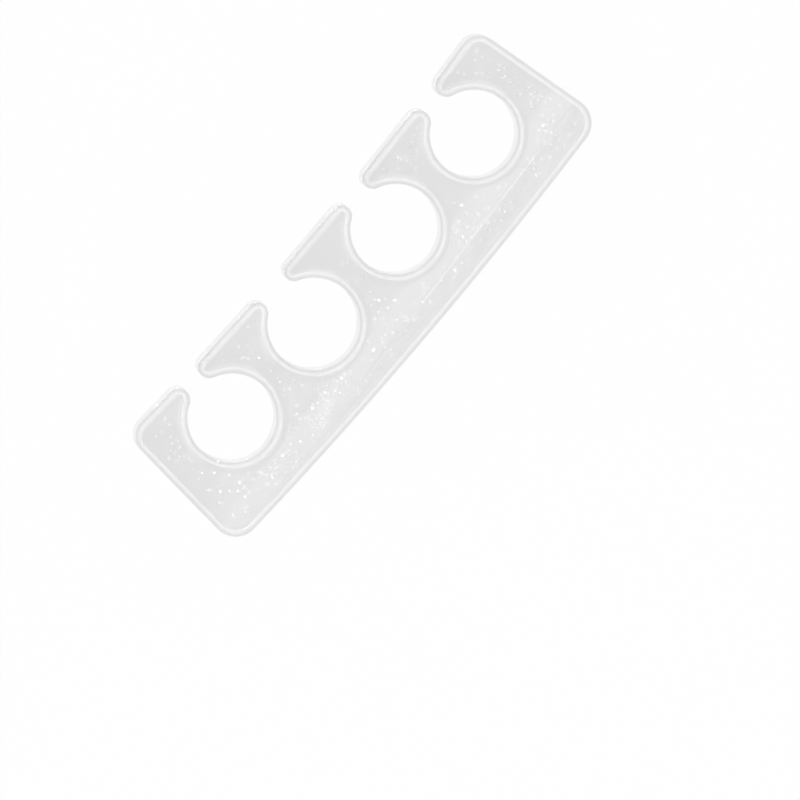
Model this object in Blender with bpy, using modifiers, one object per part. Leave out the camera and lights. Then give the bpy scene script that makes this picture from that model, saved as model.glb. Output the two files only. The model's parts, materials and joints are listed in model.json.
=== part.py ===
"""A one-piece toe separator, moulded in soft gel.

It is a flat bar, bowed a little along its length. Four round toe holes stand in a row along it. Each
opens at the front edge through a narrow mouth, which leaves five teeth with full round tips. The bar
lies flat, with the teeth towards +Y and its length along X. The origin is at the middle of its box, on
the face that it rests on. All sizes are in metres.
"""

import math

import bpy

NAME = "gel_toe_separator"

# Sizes of the whole bar
THICKNESS = 0.0100
EDGE_RADIUS = 0.0012
SPINE = 0.0081
LIP = 0.00225
NECK = 0.0057
END_WALL = 0.0074
END_SPLAY = math.radians(5.5)

# Bow of the two long edges
BACK_EDGE_RADIUS = 0.835
TOOTH_LINE_RADIUS = 0.610

# Outer corners, seen from above
BACK_CORNER_RADIUS = 0.0043
FRONT_CORNER_RADIUS = 0.0034

# Toe holes from left to right: diameter, width of the mouth, and how far the mouth lies off the hole's
# centre. The mould was cut by hand, so they differ a little.
TOE_HOLES = (
    (0.0151, 0.0037, 0.0003),
    (0.0157, 0.00585, 0.0),
    (0.01535, 0.00465, -0.0001),
    (0.0150, 0.0038, -0.0006),
)

# How finely the round stretches are drawn
HOLE_STEP = math.radians(6)
CORNER_STEP = math.radians(11)
LONG_EDGE_STEPS = 24
TOOTH_TOP_STEPS = 5
EDGE_SEGMENTS = 4

GEL_COLOUR = (0.80, 0.80, 0.80, 1.0)
GEL_ROUGHNESS = 0.22
GEL_IOR = 1.41


def clear_scene():
    for existing in list(bpy.data.objects):
        bpy.data.objects.remove(existing)


def back_edge(x):
    """Height of the bowed back edge at x. It is lowest in the middle."""
    return BACK_EDGE_RADIUS - math.sqrt(BACK_EDGE_RADIUS**2 - x**2)


def tooth_line_centre():
    """Centre of the long arc that the tops of the teeth follow."""
    widest = max(diameter for diameter, _, _ in TOE_HOLES)
    return SPINE + widest + LIP + TOOTH_LINE_RADIUS


def below_tooth_line(x, depth):
    """Height of the line that runs at this depth inside the teeth."""
    return tooth_line_centre() - math.sqrt((TOOTH_LINE_RADIUS + depth) ** 2 - x**2)


def place_holes():
    """The toe holes as (x, y, radius, mouth's left edge, mouth's right edge), a neck apart, centred on X."""
    widths = [diameter for diameter, _, _ in TOE_HOLES]
    x = -(sum(widths) + NECK * (len(widths) - 1)) / 2
    holes = []
    for diameter, mouth, offset in TOE_HOLES:
        radius = diameter / 2
        x += radius
        y = back_edge(x) + SPINE + radius
        holes.append((x, y, radius, x + offset - mouth / 2, x + offset + mouth / 2))
        x += radius + NECK
    return holes


def tip_circle(hole, side):
    """The circle that rounds a tooth's tip: it touches the toe hole, the mouth and the tooth line.

    side is 1 for the tip to the right of the mouth and -1 for the one to its left.
    """
    x, y, radius, mouth_left, mouth_right = hole
    mouth_edge = mouth_right if side > 0 else mouth_left
    smallest = 0.0
    largest = radius
    for _ in range(40):
        tip = (smallest + largest) / 2
        tip_x = mouth_edge + side * tip
        tip_y = below_tooth_line(tip_x, tip)
        if math.hypot(tip_x - x, tip_y - y) > radius + tip:
            smallest = tip
        else:
            largest = tip
    return tip_x, tip_y, tip


def arc(x, y, radius, start, end, step):
    """Points along an arc from one angle to another, both ends included."""
    count = max(2, math.ceil(abs(end - start) / step))
    angles = [start + (end - start) * index / count for index in range(count + 1)]
    return [(x + radius * math.cos(angle), y + radius * math.sin(angle)) for angle in angles]


def corner_circle(end_x, end_y, inset, height):
    """Centre of the corner circle that lies this far inside the end line, at the height that fits it.

    The end line leans by END_SPLAY and passes through (end_x, end_y). height gives the circle's centre
    line for an x.
    """
    x = end_x
    for _ in range(20):
        y = height(x)
        x = end_x - (y - end_y) * math.tan(END_SPLAY) - inset / math.cos(END_SPLAY)
    return x, y


def right_end(hole):
    """The outline of the right end, from the back edge to the tooth line, with both corners."""
    x, y, radius, _, _ = hole
    end_x = x + radius + END_WALL

    def above_back_edge(at):
        inner = BACK_EDGE_RADIUS - BACK_CORNER_RADIUS
        return BACK_EDGE_RADIUS - math.sqrt(inner**2 - at**2)

    def below_front_edge(at):
        return below_tooth_line(at, FRONT_CORNER_RADIUS)

    back_x, back_y = corner_circle(end_x, y, BACK_CORNER_RADIUS, above_back_edge)
    front_x, front_y = corner_circle(end_x, y, FRONT_CORNER_RADIUS, below_front_edge)
    back_start = math.atan2(back_y - BACK_EDGE_RADIUS, back_x)
    front_end = math.atan2(tooth_line_centre() - front_y, -front_x)
    points = arc(back_x, back_y, BACK_CORNER_RADIUS, back_start, END_SPLAY, CORNER_STEP)
    points += arc(front_x, front_y, FRONT_CORNER_RADIUS, END_SPLAY, front_end, CORNER_STEP)
    return points


def mouth_and_hole(hole):
    """The outline from the tip right of the mouth, down round the toe hole, to the tip left of it."""
    x, y, radius, _, _ = hole
    right_x, right_y, right_tip = tip_circle(hole, 1)
    left_x, left_y, left_tip = tip_circle(hole, -1)
    from_right = math.atan2(right_y - y, right_x - x)
    to_left = math.atan2(left_y - y, left_x - x) - 2 * math.pi
    right_top = math.atan2(tooth_line_centre() - right_y, -right_x)
    left_top = math.atan2(tooth_line_centre() - left_y, -left_x)
    points = arc(right_x, right_y, right_tip, right_top, math.pi + from_right, CORNER_STEP)
    points += arc(x, y, radius, from_right, to_left, HOLE_STEP)[1:-1]
    points += arc(left_x, left_y, left_tip, to_left + math.pi, left_top, CORNER_STEP)
    return points


def run_between(start, end, height, steps):
    """Points on a long edge strictly between two points, by the function that gives its height."""
    spots = [start[0] + (end[0] - start[0]) * index / steps for index in range(1, steps)]
    return [(spot, height(spot)) for spot in spots]


def tooth_line(x):
    return below_tooth_line(x, 0.0)


def outline():
    """The whole outline seen from above, counterclockwise from the back edge's right corner."""
    holes = place_holes()
    right = right_end(holes[-1])
    mirrored = [(-x, *rest) for x, *rest in holes]
    left = [(-x, y) for x, y in reversed(right_end(mirrored[0]))]
    points = right
    for hole in reversed(holes):
        front = mouth_and_hole(hole)
        points += run_between(points[-1], front[0], tooth_line, TOOTH_TOP_STEPS) + front
    points += run_between(points[-1], left[0], tooth_line, TOOTH_TOP_STEPS) + left
    points += run_between(points[-1], points[0], back_edge, LONG_EDGE_STEPS)
    return points


def centred(points):
    """The outline moved so that its box is centred on the origin."""
    middle_x = (max(x for x, _ in points) + min(x for x, _ in points)) / 2
    middle_y = (max(y for _, y in points) + min(y for _, y in points)) / 2
    return [(x - middle_x, y - middle_y) for x, y in points]


def edge_radius():
    """The rounding of the upper and lower edges, kept inside the tips, the necks and the thickness."""
    tips = [tip_circle(hole, side)[2] for hole in place_holes() for side in (1, -1)]
    return min(EDGE_RADIUS, 0.9 * min(tips), 0.45 * NECK, 0.45 * THICKNESS)


def gel_material():
    material = bpy.data.materials.new("clear_moulded_gel")
    material.use_nodes = True
    shader = material.node_tree.nodes["Principled BSDF"]
    shader.inputs["Base Color"].default_value = GEL_COLOUR
    shader.inputs["Roughness"].default_value = GEL_ROUGHNESS
    shader.inputs["Metallic"].default_value = 0.0
    shader.inputs["IOR"].default_value = GEL_IOR
    return material


def build_separator(collection):
    curve = bpy.data.curves.new(NAME, "CURVE")
    curve.dimensions = "2D"
    curve.fill_mode = "BOTH"
    curve.extrude = THICKNESS / 2
    points = centred(outline())
    spline = curve.splines.new("POLY")
    spline.points.add(len(points) - 1)
    for point, (x, y) in zip(spline.points, points):
        point.co = (x, y, 0.0, 1.0)
    spline.use_cyclic_u = True
    spline.use_smooth = True
    curve.materials.append(gel_material())

    separator = bpy.data.objects.new(NAME, curve)
    separator.location.z = THICKNESS / 2
    collection.objects.link(separator)

    weld = separator.modifiers.new("weld_caps", "WELD")
    weld.merge_threshold = 0.00001
    # Both faces become one flat polygon each, so that the rounding runs evenly along their edges.
    merge = separator.modifiers.new("flat_faces", "DECIMATE")
    merge.decimate_type = "DISSOLVE"
    merge.angle_limit = math.radians(0.05)
    rounding = separator.modifiers.new("rounded_edges", "BEVEL")
    rounding.limit_method = "ANGLE"
    rounding.angle_limit = math.radians(60)
    rounding.width = edge_radius()
    rounding.segments = EDGE_SEGMENTS
    rounding.use_clamp_overlap = False
    rounding.loop_slide = False
    return separator


def main():
    clear_scene()
    collection = bpy.data.collections.new("toe_separator")
    bpy.context.scene.collection.children.link(collection)
    build_separator(collection)


main()
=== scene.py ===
# %% [markdown]
# # A gel toe separator
#
# A toe separator is a soft bar that keeps the toes apart while nail varnish dries. Its construction
# is already settled: one solid with four toe holes, at its real size. This script loads that solid as
# a fixed frame and gives it the looks of the real thing, a cast of clear gel with glitter in it.
# Everything is in metres. The length runs along X, the toe holes open towards +Y, and the bar lies on
# Z = 0.

# %% Load the frame
import json
import math
import random

import bmesh
import bpy
from mathutils import Matrix, Vector, geometry, noise

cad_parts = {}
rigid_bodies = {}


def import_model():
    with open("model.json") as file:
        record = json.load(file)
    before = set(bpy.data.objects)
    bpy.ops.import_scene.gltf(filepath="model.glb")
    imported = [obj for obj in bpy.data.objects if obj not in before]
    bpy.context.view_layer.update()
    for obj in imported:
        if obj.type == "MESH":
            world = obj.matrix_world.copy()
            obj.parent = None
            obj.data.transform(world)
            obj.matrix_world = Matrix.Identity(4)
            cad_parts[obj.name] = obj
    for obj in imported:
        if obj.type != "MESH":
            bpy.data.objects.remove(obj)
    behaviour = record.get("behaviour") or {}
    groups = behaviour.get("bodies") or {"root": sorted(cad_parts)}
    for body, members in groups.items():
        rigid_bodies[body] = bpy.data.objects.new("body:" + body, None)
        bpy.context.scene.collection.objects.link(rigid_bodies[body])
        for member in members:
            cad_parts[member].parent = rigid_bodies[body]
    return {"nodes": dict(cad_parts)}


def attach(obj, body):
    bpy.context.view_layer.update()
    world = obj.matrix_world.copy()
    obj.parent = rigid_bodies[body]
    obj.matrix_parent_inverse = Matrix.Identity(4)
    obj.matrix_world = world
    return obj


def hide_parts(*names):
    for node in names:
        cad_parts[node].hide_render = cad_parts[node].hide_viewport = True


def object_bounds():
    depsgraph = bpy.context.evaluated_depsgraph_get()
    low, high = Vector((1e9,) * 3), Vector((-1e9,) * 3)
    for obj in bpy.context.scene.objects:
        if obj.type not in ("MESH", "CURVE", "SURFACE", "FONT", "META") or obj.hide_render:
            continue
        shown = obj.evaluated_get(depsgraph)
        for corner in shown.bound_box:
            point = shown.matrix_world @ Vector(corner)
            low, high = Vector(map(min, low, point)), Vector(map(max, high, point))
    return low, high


for leftover in list(bpy.data.objects):
    bpy.data.objects.remove(leftover)
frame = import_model()
NODE = "gel_toe_separator"
MM = 0.001
cad_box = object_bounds()
cad_low, cad_high = cad_box
thickness = cad_high.z - cad_low.z
print("solid in mm:", [round(side / MM, 2) for side in cad_high - cad_low])

# %% [markdown]
# ## Camera
#
# The photograph looks almost straight down, from far away, with a long lens. The bar lies across the
# picture at an angle, and the camera leans a little towards the toe side, so a sliver of side wall
# shows in each toe hole. An orthographic camera would give nearly the same picture, but a very long
# lens keeps the slight perspective of a real one. Its place is worked out from three facts about the
# picture: how large one picture dot is on the bar, which dot the middle of the bar falls on, and how
# far the bar's length is turned.

# %% Camera
PHOTO_SIDE_PX = 800
PIXEL = 0.1697 * MM
MIDDLE_PX = (362.3, 284.3)
LENGTH_TURN = math.radians(49.6)
LEAN = math.radians(5.5)
CAMERA_DISTANCE = 2.5
SENSOR_WIDTH_MM = 36.0


def place_camera():
    toward_camera = Vector((0, math.sin(LEAN), math.cos(LEAN)))
    across = Vector((1, 0, 0))
    up = toward_camera.cross(across)
    screen_right = across * math.cos(LENGTH_TURN) - up * math.sin(LENGTH_TURN)
    screen_up = across * math.sin(LENGTH_TURN) + up * math.cos(LENGTH_TURN)
    half = PHOTO_SIDE_PX / 2
    middle = Vector((0, 0, thickness / 2))
    aim = middle + screen_right * (half - MIDDLE_PX[0]) * PIXEL
    aim += screen_up * (MIDDLE_PX[1] - half) * PIXEL
    data = bpy.data.cameras.new("camera")
    data.sensor_width = SENSOR_WIDTH_MM
    data.lens = SENSOR_WIDTH_MM * CAMERA_DISTANCE / (PHOTO_SIDE_PX * PIXEL)
    data.clip_end = 2 * CAMERA_DISTANCE
    camera = bpy.data.objects.new("camera", data)
    turn = Matrix((screen_right, screen_up, toward_camera)).transposed()
    camera.matrix_world = Matrix.Translation(aim + toward_camera * CAMERA_DISTANCE) @ turn.to_4x4()
    bpy.context.scene.collection.objects.link(camera)
    bpy.context.scene.camera = camera
    return camera


camera = place_camera()
print("lens in mm:", round(camera.data.lens))

# %% [markdown]
# ## The gel's skin
#
# The solid has the true outline, but its round stretches are made of short straight sides. Clear gel
# bends light, so every side would show as a facet. A subdivision surface would smooth them, but it
# would also shrink the bar. The skin is therefore modelled again, finer, from the solid's own outline:
# the loop of points where the side wall meets the lower rounding is read from the frame and walked
# round in order.

# %% Read the outline from the solid
# The rounding of the solid's edges tells how high its wall begins.
EDGE_RADIUS = 1.2 * MM
SAME = 0.01 * MM


def outline_of(node):
    """The points of the solid's wall, just above its lower rounding, in order round the bar."""
    mesh = frame["nodes"][node].data
    level = cad_low.z + EDGE_RADIUS
    places = {}
    for vertex in mesh.vertices:
        if abs(vertex.co.z - level) < SAME:
            key = (round(vertex.co.x / SAME), round(vertex.co.y / SAME))
            places[key] = Vector((vertex.co.x, vertex.co.y))
    of_vertex = [(round(v.co.x / SAME), round(v.co.y / SAME)) for v in mesh.vertices]
    on_level = [abs(v.co.z - level) < SAME for v in mesh.vertices]
    near = {key: set() for key in places}
    for edge in mesh.edges:
        first, second = edge.vertices
        if on_level[first] and on_level[second] and of_vertex[first] != of_vertex[second]:
            near[of_vertex[first]].add(of_vertex[second])
            near[of_vertex[second]].add(of_vertex[first])
    start = min(near)
    walk = [start]
    ahead = min(near[start])
    while ahead != start:
        walk.append(ahead)
        ahead = next(key for key in near[walk[-1]] if key != walk[-2])
    return [places[key] for key in walk]


wall_line = outline_of(NODE)
twice_area = sum(a.x * b.y - b.x * a.y for a, b in zip(wall_line, wall_line[1:] + wall_line[:1]))
if twice_area < 0:
    wall_line.reverse()
print("outline points:", len(wall_line), "round", round(abs(twice_area) / 2 / MM**2), "square mm")

# %% [markdown]
# A smooth curve through these points gives as many points as the gel needs. Hermite curves are used,
# because each stretch only depends on its own two ends and on the directions there, so the curve
# doesn't swing out where a short side follows a long one.

# %% Smooth the outline
OUTLINE_STEP = 0.25 * MM


def smooth_loop(points, step):
    """A closed loop through the points, as Hermite curves, with a new point about every step."""
    count = len(points)
    tangents = [(points[(index + 1) % count] - points[index - 1]).normalized() for index in range(count)]
    loop = []
    for index in range(count):
        after = (index + 1) % count
        start, end = points[index], points[after]
        side = (end - start).length
        pieces = max(1, round(side / step))
        for piece in range(pieces):
            t = piece / pieces
            spot = start * (2 * t**3 - 3 * t**2 + 1) + end * (3 * t**2 - 2 * t**3)
            spot += tangents[index] * side * (t**3 - 2 * t**2 + t)
            spot += tangents[after] * side * (t**3 - t**2)
            loop.append(spot)
    return loop


def kept_in_box(spot):
    """The place itself, or the nearest one in the solid's box where the curve swings a hair past it."""
    x = min(max(spot.x, cad_low.x), cad_high.x)
    y = min(max(spot.y, cad_low.y), cad_high.y)
    return Vector((x, y))


def inward_normals(loop):
    """The direction into the gel at every point of the loop."""
    count = len(loop)
    normals = []
    for index in range(count):
        along = (loop[(index + 1) % count] - loop[index - 1]).normalized()
        normals.append(Vector((-along.y, along.x)))
    return normals


fine_line = [kept_in_box(spot) for spot in smooth_loop(wall_line, OUTLINE_STEP)]
fine_normals = inward_normals(fine_line)
print("smooth outline points:", len(fine_line))

# %% [markdown]
# The wall is built as rings: one ring of points follows the outline at each height. Where the edge is
# rounded, the ring also moves inwards. The real rounding runs out softly into the face, so it is drawn
# as a quarter of an ellipse that reaches a little further across the face than down the wall.

# %% Rings up the wall
EDGE_RINGS = 8
WALL_RINGS = 6
EDGE_INSET = 1.55 * MM


def ring_steps():
    """(inset, height) of every ring from the underside's rim to the upper face's rim."""
    steps = []
    for index in range(EDGE_RINGS + 1):
        angle = math.pi / 2 * index / EDGE_RINGS
        inset = EDGE_INSET * (1 - math.sin(angle))
        steps.append((inset, EDGE_RADIUS * (1 - math.cos(angle))))
    wall = thickness - 2 * EDGE_RADIUS
    middle = [(0.0, EDGE_RADIUS + wall * index / WALL_RINGS) for index in range(1, WALL_RINGS)]
    above = [(inset, thickness - height) for inset, height in reversed(steps)]
    return steps + middle + above


print("rings:", len(ring_steps()))

# %% [markdown]
# Gel never cools perfectly flat. Its upper face sinks by a few hundredths of a millimetre in slow
# waves, and a shallow crease runs along the right half of the spine, where the face slopes down and
# turns level again. Slopes this small can't be seen from the side, but they move the reflections. The
# edge towards the toes stands up a little more than the edge at the back.

# %% Waves and crease of the upper face
SINK = 0.05 * MM
WAVE = 9.0 * MM
NOISE_SLICE = 0.3
CREASE = ((-9.7 * MM, -10.0 * MM), (45.4 * MM, -7.1 * MM))
CREASE_DEPTH = 0.10 * MM
SLOPE_WIDTH = 4.0 * MM
TOE_EDGE_SHARPER = 0.3


def beyond_crease(x, y):
    """How far a place lies from the crease, in metres. It is positive on the strip behind it."""
    (x1, y1), (x2, y2) = CREASE
    return ((x - x1) * (y2 - y1) - (y - y1) * (x2 - x1)) / math.hypot(x2 - x1, y2 - y1)


def sink_at(x, y):
    """How far the upper face lies below its highest level at this place."""
    # The noise runs from -1 to 1, so half of it and a half more run from 0 to 1.
    wave = 0.5 + 0.5 * noise.noise(Vector((x / WAVE, y / WAVE, NOISE_SLICE)))
    slope = 1 + beyond_crease(x, y) / SLOPE_WIDTH
    return SINK * wave + CREASE_DEPTH * min(1.0, max(0.0, slope))


def skin_point(x, y, height):
    """A point of the skin: the upper half follows the waves of the upper face."""
    upper_share = max(0.0, 2 * height / thickness - 1)
    return (x, y, cad_low.z + height - sink_at(x, y) * upper_share)


def edge_height(height, inward):
    """The height of a ring: nearer the upper face where the wall looks towards the toes."""
    drop = thickness - height
    if drop < EDGE_RADIUS:
        drop *= 1 - TOE_EDGE_SHARPER * max(0.0, -inward.y)
    return thickness - drop


print("sink in the middle in mm:", round(sink_at(0.0, 0.0) / MM, 3))

# %% [markdown]
# To follow the waves, the two faces need points inside them. They are taken from an even honeycomb
# grid, and a Delaunay fill later joins them with the rim in small, nearly equal triangles. A plain
# fill would leave long thin triangles, which show as streaks in clear gel.

# %% Points inside the faces
FACE_GRID = 0.6 * MM
RIM_CLEARANCE = 0.6 * FACE_GRID


def inside(point, loop):
    """A line from the point towards +X crosses the loop an odd number of times if the point is inside."""
    found = False
    for a, b in zip(loop, loop[1:] + loop[:1]):
        if (a.y > point.y) != (b.y > point.y):
            if point.x < a.x + (point.y - a.y) * (b.x - a.x) / (b.y - a.y):
                found = not found
    return found


def face_points(rim):
    """Grid points inside the rim, in a honeycomb, that keep clear of the rim itself."""
    row_step = FACE_GRID * math.sqrt(3) / 2
    rows = int((cad_high.y - cad_low.y) / row_step) + 1
    columns = int((cad_high.x - cad_low.x) / FACE_GRID) + 1
    # Measuring from every second point of the rim is exact enough.
    coarse = rim[::2]
    points = []
    for row in range(rows):
        for column in range(columns):
            x = cad_low.x + (column + 0.5 * (row % 2)) * FACE_GRID
            spot = Vector((x, cad_low.y + row * row_step))
            nearest = min((spot - p).length_squared for p in coarse)
            if nearest > RIM_CLEARANCE**2 and inside(spot, coarse):
                points.append(spot)
    return points


face_rim = [spot + inward * EDGE_INSET for spot, inward in zip(fine_line, fine_normals)]
face_grid = face_points(face_rim)
print("points inside each face:", len(face_grid))

# %% [markdown]
# Now the rings, the two faces and the points inside them become one closed mesh. It has to be closed,
# because the gel's material counts how far light travels inside it.

# %% Build the gel skin
# The fill keeps only the triangles inside the rim, and takes points nearer than this for the same.
ONLY_INSIDE = 1
SAME_POINT = 1e-9


def wall_rings(mesh):
    """The points of every ring, from the underside up."""
    rings = []
    for inset, height in ring_steps():
        ring = []
        for outer, inward in zip(fine_line, fine_normals):
            spot = outer + inward * inset
            ring.append(mesh.verts.new(skin_point(spot.x, spot.y, edge_height(height, inward))))
        rings.append(ring)
    return rings


def fill_face(mesh, ring, filled, height, upward):
    """Adds one flat face: its inner points, and the triangles that join them with its rim."""
    spots, triangles = filled
    verts = ring + [mesh.verts.new(skin_point(spot.x, spot.y, height)) for spot in spots[len(ring) :]]
    for triangle in triangles:
        corners = [verts[index] for index in triangle]
        if upward != (geometry.normal([v.co for v in corners]).z > 0):
            corners.reverse()
        mesh.faces.new(corners)


def gel_mesh():
    mesh = bmesh.new()
    rings = wall_rings(mesh)
    count = len(fine_line)
    for lower, upper in zip(rings, rings[1:]):
        for index in range(count):
            after = (index + 1) % count
            mesh.faces.new((lower[index], lower[after], upper[after], upper[index]))
    border = [(index, (index + 1) % count) for index in range(count)]
    whole = [list(range(count))]
    fill = geometry.delaunay_2d_cdt(face_rim + face_grid, border, whole, ONLY_INSIDE, SAME_POINT)
    filled = (fill[0], fill[2])
    fill_face(mesh, rings[0], filled, 0.0, False)
    fill_face(mesh, rings[-1], filled, thickness, True)
    data = bpy.data.meshes.new("gel_body")
    mesh.to_mesh(data)
    mesh.free()
    data.shade_smooth()
    return data


gel_body = bpy.data.objects.new("gel_body", gel_mesh())
bpy.context.scene.collection.objects.link(gel_body)
print("gel faces:", len(gel_body.data.polygons))

# %% [markdown]
# ## Materials
#
# Every colour below is written as the hex value that a picture of the surface would show. Blender
# mixes light in linear numbers, so one function turns them over. A second one adds a node to a
# material, sets its sockets and links them, which keeps each material short enough to read.

# %% Colour and node helpers
WHITE = "#FFFFFF"


def linear(hex_colour):
    """The colour in linear light, with an alpha of 1, from its sRGB hex value."""
    channels = [int(hex_colour[start : start + 2], 16) / 255 for start in (1, 3, 5)]
    return (*(c / 12.92 if c <= 0.04045 else ((c + 0.055) / 1.055) ** 2.4 for c in channels), 1.0)


def add_node(tree, kind, options=None, inputs=None):
    """Adds a node. Its inputs are given by name or number, each as a value or as the output to link."""
    node = tree.nodes.new(kind)
    for option, value in (options or {}).items():
        setattr(node, option, value)
    for place, value in (inputs or {}).items():
        if isinstance(value, bpy.types.NodeSocket):
            tree.links.new(value, node.inputs[place])
        else:
            node.inputs[place].default_value = value
    return node


def new_material(name):
    material = bpy.data.materials.new(name)
    material.use_nodes = True
    material.node_tree.nodes.clear()
    return material


print("mid grey in linear light:", round(linear("#808080")[0], 3))

# %% [markdown]
# The body is a soft clear gel, a rubber swollen with oil, which was cast in a polished mould. It bends
# light a little less than glass does, so its IOR is 1.41. The polish wears unevenly, so the roughness
# wanders between 0.08 and 0.16 over a few millimetres: reflections of the lamps get soft edges, and
# the glitter inside stays sharp. The gel is faintly cloudy. Absorption in its depth gives this its
# light grey, so thick places look darker than thin ones, which a grey base colour couldn't do.
#
# Two finer marks come from bump: slow ripples, and a flow seam along the crease, where two streams of
# liquid gel met in the mould. The real seam is a hairline, too fine for the picture, so it is drawn
# wider. It could be cut into the mesh, but that would need far smaller triangles. Instead, a mapping
# turns a long flat ellipsoid about the crease into a ball, and the seam's height falls off with the
# distance from the ball's middle.

# %% Flow seam
SEAM_HALF_SIZE = (36.0 * MM, 0.30 * MM, 1.0 * MM)
SEAM_HEIGHT = 0.07 * MM


def flow_seam(tree, place):
    """The seam's height: 1 in the middle of the crease, and 0 from a long flat ellipsoid outwards."""
    (x1, y1), (x2, y2) = CREASE
    local = add_node(
        tree,
        "ShaderNodeMapping",
        {"vector_type": "TEXTURE"},
        {
            "Vector": place,
            "Location": ((x1 + x2) / 2, (y1 + y2) / 2, thickness - CREASE_DEPTH),
            "Rotation": (0, 0, math.atan2(y2 - y1, x2 - x1)),
            "Scale": SEAM_HALF_SIZE,
        },
    )
    far = add_node(tree, "ShaderNodeVectorMath", {"operation": "LENGTH"}, {0: local.outputs["Vector"]})
    return add_node(
        tree,
        "ShaderNodeMapRange",
        {"interpolation_type": "SMOOTHSTEP"},
        {"Value": far.outputs["Value"], "To Min": 1.0, "To Max": 0.0},
    )


print("widest part of the seam in mm:", round(2 * SEAM_HALF_SIZE[1] / MM, 2))

# %% Cast clear gel
GEL_IOR = 1.41
GEL_TRANSMISSION = 0.97
GEL_TINT = "#C8C8C8"
GEL_DENSITY = 26.0
GEL_ROUGHNESS = (0.08, 0.16)
POLISH_MARKS = 3.0 * MM
RIPPLES = 4.0 * MM
RIPPLE_HEIGHT = 0.03 * MM


def cast_clear_gel():
    material = new_material("cast_clear_gel")
    tree = material.node_tree
    place = add_node(tree, "ShaderNodeTexCoord").outputs["Object"]
    marks = add_node(
        tree, "ShaderNodeTexNoise", inputs={"Vector": place, "Scale": 1 / POLISH_MARKS, "Detail": 4.0}
    )
    polish = add_node(
        tree,
        "ShaderNodeMapRange",
        inputs={"Value": marks.outputs[0], "To Min": GEL_ROUGHNESS[0], "To Max": GEL_ROUGHNESS[1]},
    )
    ripples = add_node(
        tree, "ShaderNodeTexNoise", inputs={"Vector": place, "Scale": 1 / RIPPLES, "Detail": 1.0}
    )
    rippled = add_node(
        tree,
        "ShaderNodeBump",
        inputs={"Height": ripples.outputs[0], "Strength": 1.0, "Distance": RIPPLE_HEIGHT},
    )
    seamed = add_node(
        tree,
        "ShaderNodeBump",
        inputs={
            "Height": flow_seam(tree, place).outputs[0],
            "Strength": 1.0,
            "Distance": SEAM_HEIGHT,
            "Normal": rippled.outputs[0],
        },
    )
    shader = add_node(
        tree,
        "ShaderNodeBsdfPrincipled",
        inputs={
            "Base Color": linear(WHITE),
            "Roughness": polish.outputs[0],
            "IOR": GEL_IOR,
            "Transmission Weight": GEL_TRANSMISSION,
            "Normal": seamed.outputs[0],
        },
    )
    depth = add_node(
        tree, "ShaderNodeVolumeAbsorption", inputs={"Color": linear(GEL_TINT), "Density": GEL_DENSITY}
    )
    add_node(
        tree,
        "ShaderNodeOutputMaterial",
        inputs={"Surface": shader.outputs[0], "Volume": depth.outputs[0]},
    )
    return material


gel_body.data.materials.append(cast_clear_gel())
lost_per_metre = GEL_DENSITY * (1 - linear(GEL_TINT)[0])
print("light that crosses the gel once:", round(math.exp(-lost_per_metre * thickness), 2))

# %% [markdown]
# ## Glitter
#
# The glitter is pearl-silver film, cut into hexagons of 0.3 to 0.5 mm and stirred into the liquid gel.
# It could be a noise pattern in the gel's colour, but then it would lie on the surface and slide over
# the edges. Real flakes inside the gel stay right from every side. They sink nearly level before the
# gel sets, a little unevenly, in loose clusters. The shallow ones show as clear bright dots, and the
# deep ones as fainter ones, because more gel lies over them.

# %% Places for the flakes
CLUSTERS = 70
CLUSTER_SPREAD = 2.2 * MM
CLUSTER_SHARE = 0.15
WALL_MARGIN = 2.2 * MM

chance = random.Random(7)
# Every third point of the line is enough to tell inside from outside.
glitter_line = [spot + inward * WALL_MARGIN for spot, inward in zip(fine_line, fine_normals)][::3]


def flake_place(centres):
    """A place seen from above that is inside the gel and clear of its walls."""
    while True:
        if chance.random() < CLUSTER_SHARE and centres:
            centre = chance.choice(centres)
            x = chance.gauss(centre.x, CLUSTER_SPREAD)
            y = chance.gauss(centre.y, CLUSTER_SPREAD)
        else:
            x = chance.uniform(cad_low.x, cad_high.x)
            y = chance.uniform(cad_low.y, cad_high.y)
        if inside(Vector((x, y)), glitter_line):
            return Vector((x, y))


cluster_centres = [flake_place(()) for _ in range(CLUSTERS)]
print("clusters:", len(cluster_centres))

# %% [markdown]
# Fine flakes also make a painted highlight: one pale streak beside the second toe hole stands in for
# the soft reflection of a lamp there. They are too fine to show singly and read as a soft cloud.

# %% Places for the painted highlight
# A painted highlight: fine pale flakes packed into one streak where a lamp's soft reflection lies.
PAINTED_SHEEN_MIDDLE = (-20.5 * MM, -8.9 * MM)
PAINTED_SHEEN_SPREAD = (2.0 * MM, 0.55 * MM)
PAINTED_SHEEN_TURN = math.radians(15)


def painted_sheen_place():
    """A place seen from above in the long streak of fine flakes that paints a highlight."""
    spot = Vector((chance.gauss(0, PAINTED_SHEEN_SPREAD[0]), chance.gauss(0, PAINTED_SHEEN_SPREAD[1])))
    spot.rotate(Matrix.Rotation(PAINTED_SHEEN_TURN, 2))
    return spot + Vector(PAINTED_SHEEN_MIDDLE)


# Nearly all the flakes of the painted highlight lie within two spreads of the middle, on either side.
print("streak in mm:", [round(4 * spread / MM, 1) for spread in PAINTED_SHEEN_SPREAD])

# %% [markdown]
# A flake is a cone with six sides and the same radius at both ends, which makes a thin hexagonal
# plate. An object for each would be easy to write, but a thousand of them are slow to handle, so they
# all go into one mesh. They stay separate islands there, which the material makes use of below.

# %% Cut the flakes
# Each kind is a count, the least and greatest width, and the least and greatest depth under the top.
SHALLOW_FLAKES = (190, (0.34 * MM, 0.54 * MM), (0.5 * MM, 4.0 * MM))
DEEP_FLAKES = (270, (0.34 * MM, 0.54 * MM), (4.0 * MM, 8.5 * MM))
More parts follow.
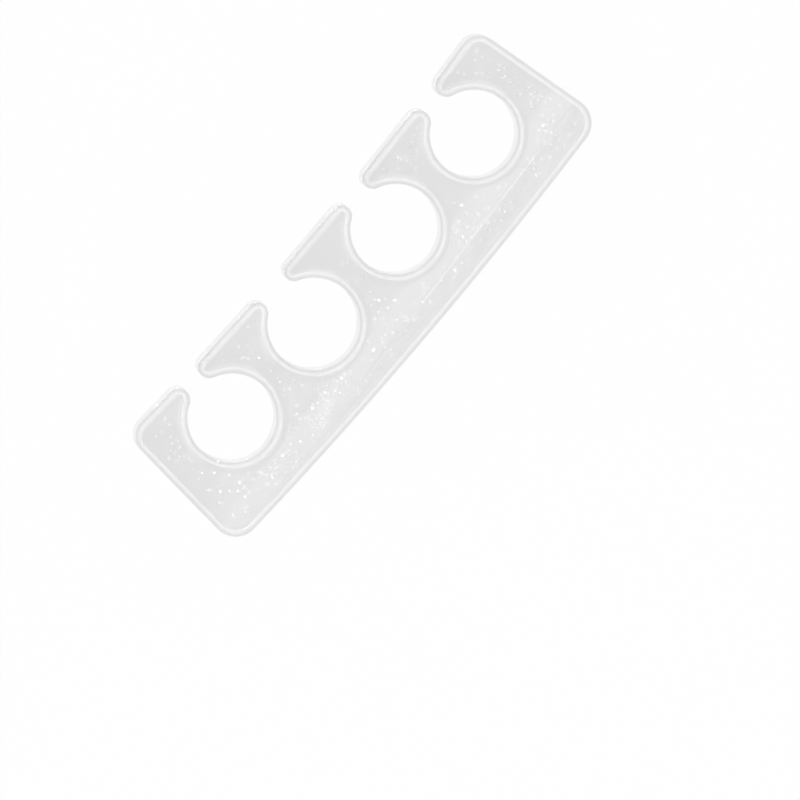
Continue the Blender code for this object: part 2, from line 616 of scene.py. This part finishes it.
# The fine flakes of the painted highlight beside the second toe hole.
PAINTED_SHEEN_FLAKES = (680, (0.08 * MM, 0.13 * MM), (0.6 * MM, 2.0 * MM))
FLAKE_THICKNESS = 0.03 * MM
FLAKE_TILT = math.radians(5)
FLAKE_SIDES = 6


def add_flake(mesh, place, sizes, depths):
    """A thin hexagon that lies nearly level in the gel."""
    radius = chance.uniform(*sizes) / 2
    spot = place.to_3d()
    spot.z = cad_high.z - chance.uniform(*depths)
    tilt_x = Matrix.Rotation(chance.gauss(0, FLAKE_TILT), 4, "X")
    tilt_y = Matrix.Rotation(chance.gauss(0, FLAKE_TILT), 4, "Y")
    spin = Matrix.Rotation(chance.uniform(0, math.tau), 4, "Z")
    bmesh.ops.create_cone(
        mesh,
        cap_ends=True,
        segments=FLAKE_SIDES,
        radius1=radius,
        radius2=radius,
        depth=FLAKE_THICKNESS,
        matrix=Matrix.Translation(spot) @ tilt_x @ tilt_y @ spin,
    )


def flake_mesh():
    mesh = bmesh.new()
    for count, sizes, depths in (SHALLOW_FLAKES, DEEP_FLAKES):
        for _ in range(count):
            add_flake(mesh, flake_place(cluster_centres), sizes, depths)
    # The painted highlight beside the second toe hole, made of fine flakes.
    count, sizes, depths = PAINTED_SHEEN_FLAKES
    for _ in range(count):
        add_flake(mesh, painted_sheen_place(), sizes, depths)
    data = bpy.data.meshes.new("glitter_and_painted_sheen_flakes")
    mesh.to_mesh(data)
    mesh.free()
    return data


# This mesh holds the glitter and the fine flakes of the painted highlight.
glitter_and_painted_sheen_flakes = bpy.data.objects.new("glitter_and_painted_sheen_flakes", flake_mesh())
bpy.context.scene.collection.objects.link(glitter_and_painted_sheen_flakes)
print("glitter faces:", len(glitter_and_painted_sheen_flakes.data.polygons))

# %% [markdown]
# Pearl-silver film is polyester with a thin coat of aluminium, rolled, so it is a metal to the eye. A
# metal shows what it mirrors: here that is the white above the table, and each flake's small tilt
# turns it to a slightly different part of it. Random Per Island gives every flake its own tone and
# gloss, as the coat is a little thinner on some. Film is embossed while it is cut, which raises the
# roughness from a foil's 0.1 to between 0.2 and 0.4.

# %% Cut pearl film
FILM_TONES = ((0.0, "#F0F0F0"), (0.5, "#F5F5F5"), (0.85, "#FAFAFA"), (1.0, "#FFFFFF"))
FILM_ROUGHNESS = (0.22, 0.38)


def cut_pearl_film():
    material = new_material("cut_pearl_film")
    tree = material.node_tree
    each = add_node(tree, "ShaderNodeNewGeometry").outputs["Random Per Island"]
    tones = add_node(tree, "ShaderNodeValToRGB", inputs={"Fac": each})
    ramp = tones.color_ramp
    for place, tone in FILM_TONES[1:-1]:
        ramp.elements.new(place).color = linear(tone)
    ramp.elements[0].color = linear(FILM_TONES[0][1])
    ramp.elements[-1].color = linear(FILM_TONES[-1][1])
    gloss = add_node(
        tree,
        "ShaderNodeMapRange",
        inputs={"Value": each, "To Min": FILM_ROUGHNESS[0], "To Max": FILM_ROUGHNESS[1]},
    )
    shader = add_node(
        tree,
        "ShaderNodeBsdfPrincipled",
        inputs={"Base Color": tones.outputs[0], "Metallic": 1.0, "Roughness": gloss.outputs[0]},
    )
    add_node(tree, "ShaderNodeOutputMaterial", inputs={"Surface": shader.outputs[0]})
    return material


glitter_and_painted_sheen_flakes.data.materials.append(cut_pearl_film())
print("film tones:", len(FILM_TONES))

# %% [markdown]
# ## White table
#
# The bar lies on a white painted table that the photograph shows as plain white. Turning the lamps up
# until the paint clips would also wash out the gel. Instead, the paint keeps its own light grey for
# the light that it sends back, with a fine grain from the roller, and the Light Path node makes it
# white where the camera looks at it, directly or in a reflection.
#
# Under the bar it is dimmer. Soft gel clings to the paint, with no air between them, and its shadow
# falls there on the matt paint. On top of that, a ray that reached the paint through the gel finds less
# of the white glow: a painted shadow under the bar. To cling, the table's top lies a hair above the
# underside of the gel.

# %% Painted table
TABLE_SIDE = 6.0
TABLE_CLING = 0.02 * MM
TABLE_PAINT = "#DEDEDE"
TABLE_GRAIN = 0.8 * MM
TABLE_GRAIN_HEIGHT = 0.01 * MM
TABLE_WHITE = 0.985
# The white share for rays through the gel, lower than TABLE_WHITE: a painted shadow under the bar.
TABLE_WHITE_IN_PAINTED_SHADOW = 0.64


def white_table_paint():
    material = new_material("rolled_white_table_paint")
    tree = material.node_tree
    path = add_node(tree, "ShaderNodeLightPath").outputs
    looking = add_node(
        tree,
        "ShaderNodeMath",
        {"operation": "MAXIMUM"},
        {0: path["Is Camera Ray"], 1: path["Is Glossy Ray"]},
    )
    # A refracted ray counts as glossy and as transmitted, so this takes off what is too much for it, down
    # to the lower white of the painted shadow under the bar.
    painted_shadow = add_node(
        tree,
        "ShaderNodeMath",
        {"operation": "MULTIPLY"},
        {0: path["Is Transmission Ray"], 1: TABLE_WHITE_IN_PAINTED_SHADOW - TABLE_WHITE},
    )
    share = add_node(
        tree,
        "ShaderNodeMath",
        {"operation": "MULTIPLY_ADD", "use_clamp": True},
        {0: looking.outputs[0], 1: TABLE_WHITE, 2: painted_shadow.outputs[0]},
    )
    place = add_node(tree, "ShaderNodeTexCoord").outputs["Object"]
    grain = add_node(tree, "ShaderNodeTexNoise", inputs={"Vector": place, "Scale": 1 / TABLE_GRAIN})
    grainy = add_node(
        tree, "ShaderNodeBump", inputs={"Height": grain.outputs[0], "Distance": TABLE_GRAIN_HEIGHT}
    )
    matt = add_node(
        tree, "ShaderNodeBsdfDiffuse", inputs={"Color": linear(TABLE_PAINT), "Normal": grainy.outputs[0]}
    )
    glow = add_node(tree, "ShaderNodeEmission", inputs={"Color": linear(WHITE), "Strength": 1.0})
    mixed = add_node(
        tree, "ShaderNodeMixShader", inputs={0: share.outputs[0], 1: matt.outputs[0], 2: glow.outputs[0]}
    )
    add_node(tree, "ShaderNodeOutputMaterial", inputs={"Surface": mixed.outputs[0]})
    return material


def build_table():
    mesh = bmesh.new()
    bmesh.ops.create_grid(mesh, x_segments=1, y_segments=1, size=TABLE_SIDE / 2)
    data = bpy.data.meshes.new("table")
    mesh.to_mesh(data)
    mesh.free()
    table = bpy.data.objects.new("table", data)
    table.location.z = cad_low.z + TABLE_CLING
    data.materials.append(white_table_paint())
    bpy.context.scene.collection.objects.link(table)
    return table


table = build_table()
print("table height in mm:", round(table.location.z / MM, 3))

# %% [markdown]
# ## The white room
#
# The world does the same. What the camera sees of it, directly, in a reflection or through the gel, is
# white. What it sends onto a matt surface is a plainer light, and so is what a ray finds after it has
# left a matt surface: without that, the paint under the gel would be lit twice as much.

# %% World
ROOM_LIGHT = 0.55
FIRST_BOUNCE = 0.5


def build_world():
    world = bpy.data.worlds.new("white_room")
    world.use_nodes = True
    tree = world.node_tree
    tree.nodes.clear()
    path = add_node(tree, "ShaderNodeLightPath").outputs
    seen = add_node(
        tree,
        "ShaderNodeMath",
        {"operation": "MAXIMUM"},
        {0: path["Is Camera Ray"], 1: path["Is Glossy Ray"]},
    )
    looking = add_node(
        tree,
        "ShaderNodeMath",
        {"operation": "MAXIMUM"},
        {0: seen.outputs[0], 1: path["Is Transmission Ray"]},
    )
    undiffused = add_node(
        tree, "ShaderNodeMath", {"operation": "LESS_THAN"}, {0: path["Diffuse Depth"], 1: FIRST_BOUNCE}
    )
    share = add_node(
        tree,
        "ShaderNodeMath",
        {"operation": "MULTIPLY"},
        {0: looking.outputs[0], 1: undiffused.outputs[0]},
    )
    room = add_node(tree, "ShaderNodeBackground", inputs={"Color": linear(WHITE), "Strength": ROOM_LIGHT})
    white = add_node(tree, "ShaderNodeBackground", inputs={"Color": linear(WHITE), "Strength": 1.0})
    mixed = add_node(
        tree, "ShaderNodeMixShader", inputs={0: share.outputs[0], 1: room.outputs[0], 2: white.outputs[0]}
    )
    add_node(tree, "ShaderNodeOutputWorld", inputs={"Surface": mixed.outputs[0]})
    return world


bpy.context.scene.world = build_world()
print("room light:", ROOM_LIGHT)

# %% [markdown]
# ## Lamps
#
# Clear gel is drawn by what its edges mirror. The photograph shows a pale band on every rounded edge,
# all the way round, so softboxes stand in two rings about the bar. The high ring makes the band, and
# is weaker on the side of the toes, where the band is darker. The low ring makes its outer border. It
# is dimmer, because seen from the side the flat face mirrors it strongly. Two more softboxes hang over
# the table, one behind the bar and one on the toe side, for the flatter inner part of the rounding.
# All of these only show as reflections: they add no light to the table, and none through the gel. One
# key softbox at the side lights the matt surfaces, and doesn't show as a reflection.

# %% Softboxes
# An area lamp with this many watts a square metre has a radiance of 1.
WATTS_FOR_WHITE = 4


def add_softbox(name, place, target, size, radiance):
    """A soft rectangular lamp that faces a target. A radiance of 1 looks white."""
    data = bpy.data.lights.new(name, "AREA")
    data.shape = "RECTANGLE"
    data.size, data.size_y = size
    data.energy = WATTS_FOR_WHITE * radiance * size[0] * size[1]
    lamp = bpy.data.objects.new(name, data)
    lamp.location = place
    lamp.rotation_euler = (Vector(target) - Vector(place)).to_track_quat("-Z", "Y").to_euler()
    bpy.context.scene.collection.objects.link(lamp)
    return lamp


def add_mirrored_softbox(name, place, target, size, radiance):
    """A softbox that only shows as a reflection, where it adds to the white of the world behind it."""
    lamp = add_softbox(name, place, target, size, radiance)
    lamp.visible_diffuse = False
    lamp.visible_transmission = False


print("watts a square metre for a radiance of 1:", WATTS_FOR_WHITE)

# %% Two rings of softboxes
RING_COUNT = 8
RING_DISTANCE = 0.7
HIGH_RING_ELEVATION = math.radians(50)
LOW_RING_ELEVATION = math.radians(29)
HIGH_SIZE = (0.38, 0.27)
LOW_SIZE = (0.51, 0.235)
HIGH_RADIANCE = 4.0
LOW_RADIANCE = 2.7
TOE_SIDE_DIMMING = 0.35
BAR_MIDDLE = (0, 0, 0)


def add_ring(name, elevation, size, radiance, dimming):
    """Softboxes all round the bar that face it, dimmer by this share on the toe side."""
    flat = RING_DISTANCE * math.cos(elevation)
    height = RING_DISTANCE * math.sin(elevation)
    for index in range(RING_COUNT):
        azimuth = math.tau * index / RING_COUNT
        place = (flat * math.cos(azimuth), flat * math.sin(azimuth), height)
        share = 1 - dimming * max(0.0, math.sin(azimuth))
        add_mirrored_softbox(f"{name}_softbox_{index + 1}", place, BAR_MIDDLE, size, radiance * share)


add_ring("high", HIGH_RING_ELEVATION, HIGH_SIZE, HIGH_RADIANCE, TOE_SIDE_DIMMING)
add_ring("low", LOW_RING_ELEVATION, LOW_SIZE, LOW_RADIANCE, 0.0)
print("softboxes in the rings:", 2 * RING_COUNT)

# %% Key softbox and the two overhead ones
KEY_PLACE = (-0.62, -0.45, 0.44)
KEY_SIZE = (0.5, 0.5)
KEY_RADIANCE = 3.9
OVERHEAD = 0.7
# Each softbox overhead is a name, how far it lies towards the toes, its size and its radiance.
OVERHEAD_SOFTBOXES = (
    ("back_softbox", -0.32, (0.7, 0.5), 1.9),
    ("toe_side_softbox", 0.34, (0.7, 0.4), 2.2),
)

key = add_softbox("key_softbox", KEY_PLACE, BAR_MIDDLE, KEY_SIZE, KEY_RADIANCE)
key.visible_glossy = False
for name, y, size, radiance in OVERHEAD_SOFTBOXES:
    add_mirrored_softbox(name, (0, y, OVERHEAD), (0, y, 0), size, radiance)

# %% [markdown]
# ## Tie the pieces to the frame
#
# Both pieces ride on the bar's one body. The gel body stands for the solid, which stays hidden inside
# it.

# %% Ride, replace and finish
bpy.context.scene.view_settings.view_transform = "Standard"
for piece in (gel_body, glitter_and_painted_sheen_flakes):
    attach(piece, "root")
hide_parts(NODE)
